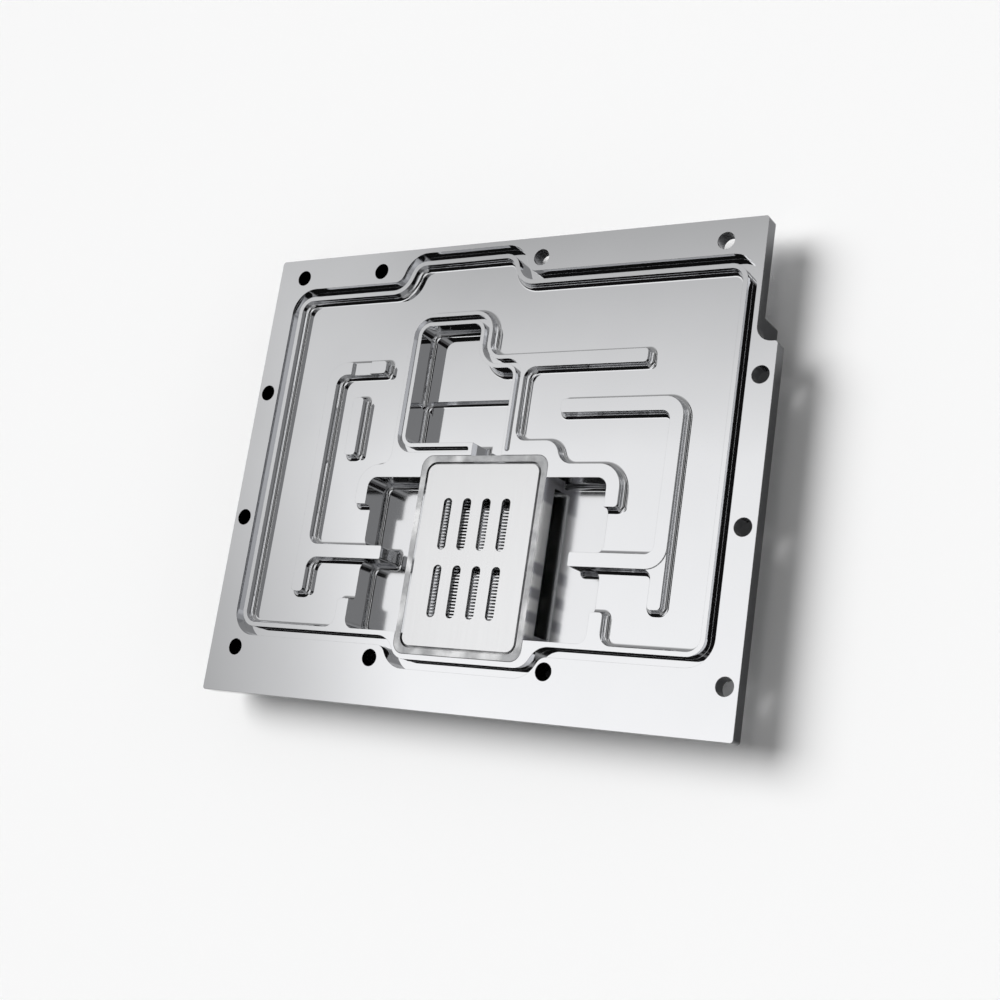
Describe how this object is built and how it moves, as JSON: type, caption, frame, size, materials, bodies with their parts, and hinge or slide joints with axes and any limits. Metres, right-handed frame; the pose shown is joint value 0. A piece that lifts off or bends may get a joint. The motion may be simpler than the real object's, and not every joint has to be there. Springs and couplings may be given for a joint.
{
  "type": "gpu water block",
  "caption": "Rectangular nickel-plated cold plate with milled coolant channels, a gasket groove, a clear insert and a slotted jet plate over fine fins.",
  "frame": {"origin": "centre of the part's bounding box in plan, at the rear contact face", "axes": "+Z out of the coolant side, away from the graphics board; +X along the long side; +Y towards the edge with the inlet well"},
  "size_m": [0.1494, 0.12, 0.012],
  "materials": {
    "nickel": "bright nickel plate over milled copper",
    "acrylic": "clear, milled faces slightly frosted",
    "sheet": "smooth rolled stainless sheet"
  },
  "bodies": {
    "root": {"cold_plate": "nickel", "jet_insert": "acrylic", "jet_plate": "sheet"}
  },
  "joints": []
}
